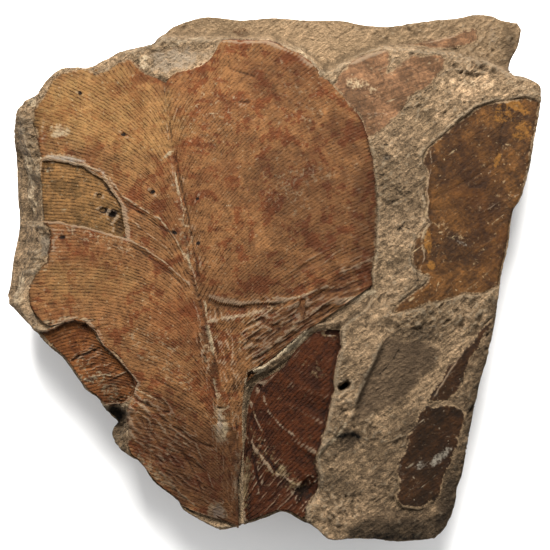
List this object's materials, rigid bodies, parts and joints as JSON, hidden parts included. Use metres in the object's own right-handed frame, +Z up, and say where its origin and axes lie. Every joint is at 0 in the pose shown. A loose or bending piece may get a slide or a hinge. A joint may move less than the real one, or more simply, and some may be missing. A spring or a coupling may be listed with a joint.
{
  "type": "fossil leaves in matrix",
  "caption": "Loose block of split brown-grey rock with thin fossil leaf films on its upper face, lying on its flat underside.",
  "frame": {"origin": "under the middle of the block, on the surface that it rests on", "axes": "+Z up out of the leaf face, +Y towards the back ledge, +X towards the right leaf"},
  "size_m": [0.1532, 0.1506, 0.0364],
  "materials": {
    "rock": "matte",
    "warm_film": "matte",
    "olive_film": "matte",
    "red_film": "matte",
    "mauve_film": "matte",
    "dark_film": "matte"
  },
  "bodies": {
    "root": {"matrix": "rock", "main_leaf": "warm_film", "under_leaf": "olive_film", "lower_left_leaf": "warm_film", "lower_leaf": "red_film", "upper_leaf": "mauve_film", "right_leaf": "dark_film", "strip_leaf": "dark_film", "corner_leaf": "dark_film", "ledge_leaf": "mauve_film"}
  },
  "joints": []
}
